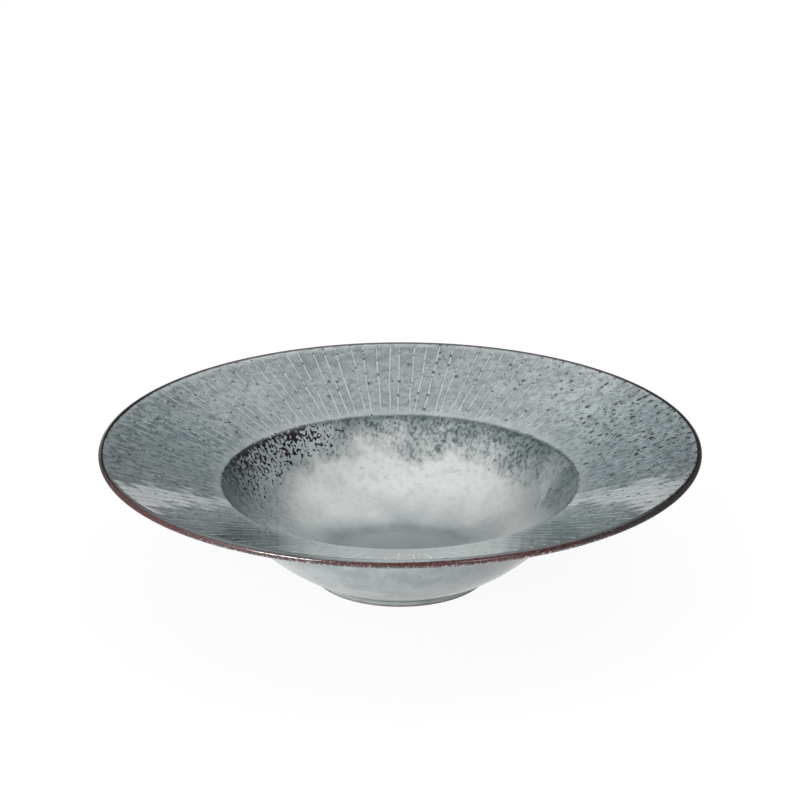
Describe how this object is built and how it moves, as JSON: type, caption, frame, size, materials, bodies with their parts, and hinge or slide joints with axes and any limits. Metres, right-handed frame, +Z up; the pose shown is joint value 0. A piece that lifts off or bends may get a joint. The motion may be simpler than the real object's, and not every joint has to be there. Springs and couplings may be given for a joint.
{
  "type": "pasta plate",
  "caption": "Deep round pasta plate of glazed stoneware with a wide sloping rim cut with fine lines, an iron-brown lip and a low foot ring.",
  "frame": {"origin": "centre of the foot ring on its standing face, the lowest point of the plate", "axes": "+Z up through the middle of the plate, square to the table; the plate is round, so +X and +Y are free"},
  "size_m": [0.27, 0.27, 0.0635],
  "materials": {
    "stoneware": "bare fired iron-rich stoneware, matt and slightly gritty",
    "rim_glaze": "blue-grey reactive glaze, glossy, cloudy, with dark specks along the cut lines",
    "line_glaze": "pale pooled glaze, glossy",
    "well_glaze": "pale grey glaze, glossy, breaking dark on the side of the well",
    "outside_glaze": "pale blue-grey glaze, glossy, with a few faint specks",
    "iron_band": "thin iron-brown glaze, satin, broken to near black in places"
  },
  "bodies": {
    "root": {"clay_bowl": "stoneware", "clay_rim": "stoneware", "foot_ring": "stoneware", "rim_glaze": "rim_glaze", "line_glaze": "line_glaze", "well_glaze": "well_glaze", "outside_glaze": "outside_glaze", "recess_glaze": "outside_glaze", "edge_band": "iron_band"}
  },
  "joints": []
}
